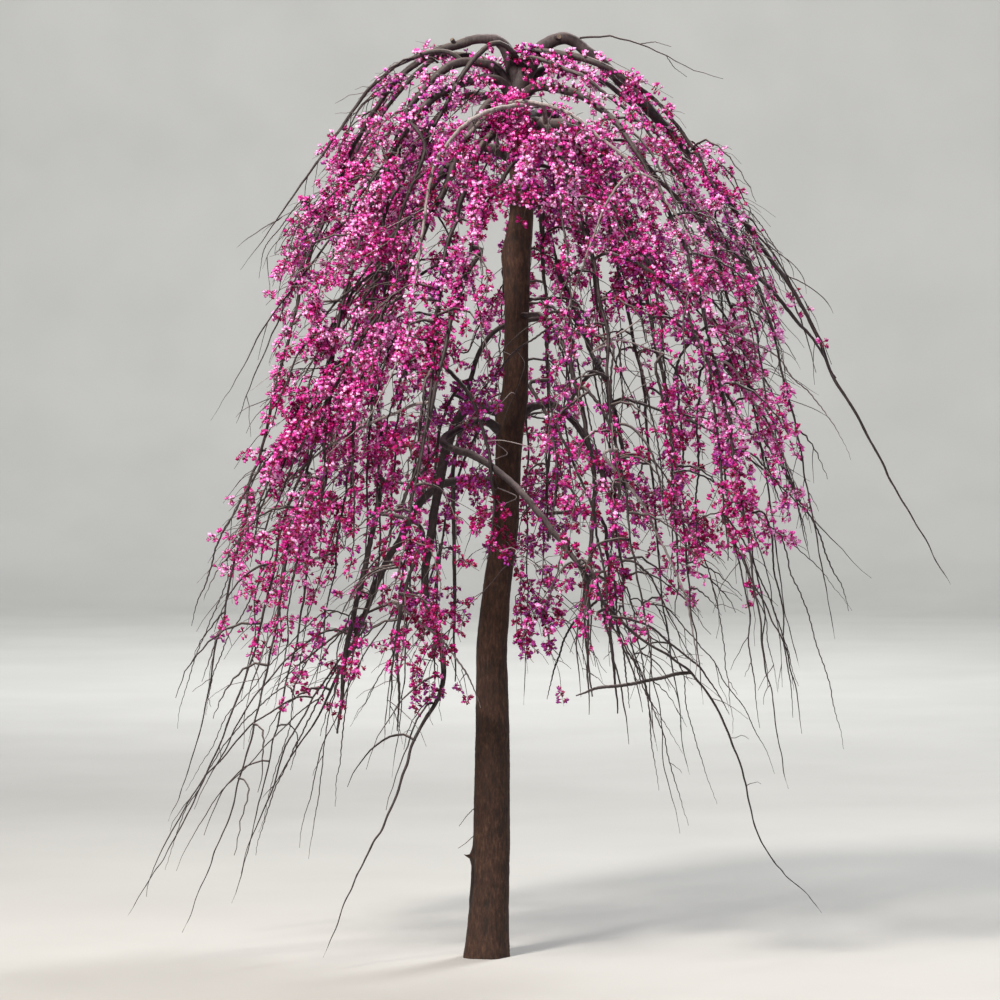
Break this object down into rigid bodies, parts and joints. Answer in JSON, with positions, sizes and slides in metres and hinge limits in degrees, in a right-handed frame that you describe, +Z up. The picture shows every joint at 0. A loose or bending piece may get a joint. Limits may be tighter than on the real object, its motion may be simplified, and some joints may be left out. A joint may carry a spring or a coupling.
{
  "type": "weeping redbud tree",
  "caption": "A weeping redbud in full bloom: a slender leaning trunk, boughs that arch from its head, and curtains of hanging twigs set with magenta blossom.",
  "frame": {"origin": "centre of the flat cut under the trunk, at ground level", "axes": "+Z is up the tree; +X is to the right seen from the front; +Y points to the back"},
  "size_m": [2.2069, 1.565, 2.5127],
  "materials": {
    "trunk_bark": "dull, finely fissured dark brown bark",
    "bough_bark": "smooth grey-brown bark of limbs and twigs",
    "blossom": "soft magenta-pink petals"
  },
  "bodies": {
    "root": {"trunk": "trunk_bark", "bough_right_outer": "bough_bark", "bough_right_high": "bough_bark", "bough_right_front": "bough_bark", "bough_front_right": "bough_bark", "bough_front_low": "bough_bark", "bough_front_left": "bough_bark", "bough_left_front": "bough_bark", "bough_left_outer": "bough_bark", "bough_left_high": "bough_bark", "bough_left_long": "bough_bark", "bough_left_back": "bough_bark", "bough_back_left": "bough_bark", "bough_back": "bough_bark", "bough_back_right": "bough_bark", "bough_right_back": "bough_bark", "bough_inner_right": "bough_bark", "bough_inner_left": "bough_bark", "bough_inner_back": "bough_bark", "bough_top_front": "bough_bark", "bough_low_left": "bough_bark", "bough_low_back_left": "bough_bark", "bough_low_front": "bough_bark", "bough_low_front_far": "bough_bark", "bough_low_right": "bough_bark", "curtain_right_outer": "blossom", "curtain_right_high": "blossom", "curtain_right_front": "blossom", "curtain_front_right": "blossom", "curtain_front_low": "blossom", "curtain_front_left": "blossom", "curtain_left_front": "blossom", "curtain_left_outer": "blossom", "curtain_left_high": "blossom", "curtain_left_long": "blossom", "curtain_left_back": "blossom", "curtain_back_left": "blossom", "curtain_back": "blossom", "curtain_back_right": "blossom", "curtain_right_back": "blossom", "curtain_inner_right": "blossom", "curtain_inner_left": "blossom", "curtain_inner_back": "blossom", "curtain_top_front": "blossom", "curtain_low_left": "blossom", "curtain_low_back_left": "blossom", "curtain_low_front": "blossom", "curtain_low_right": "blossom"}
  },
  "joints": []
}
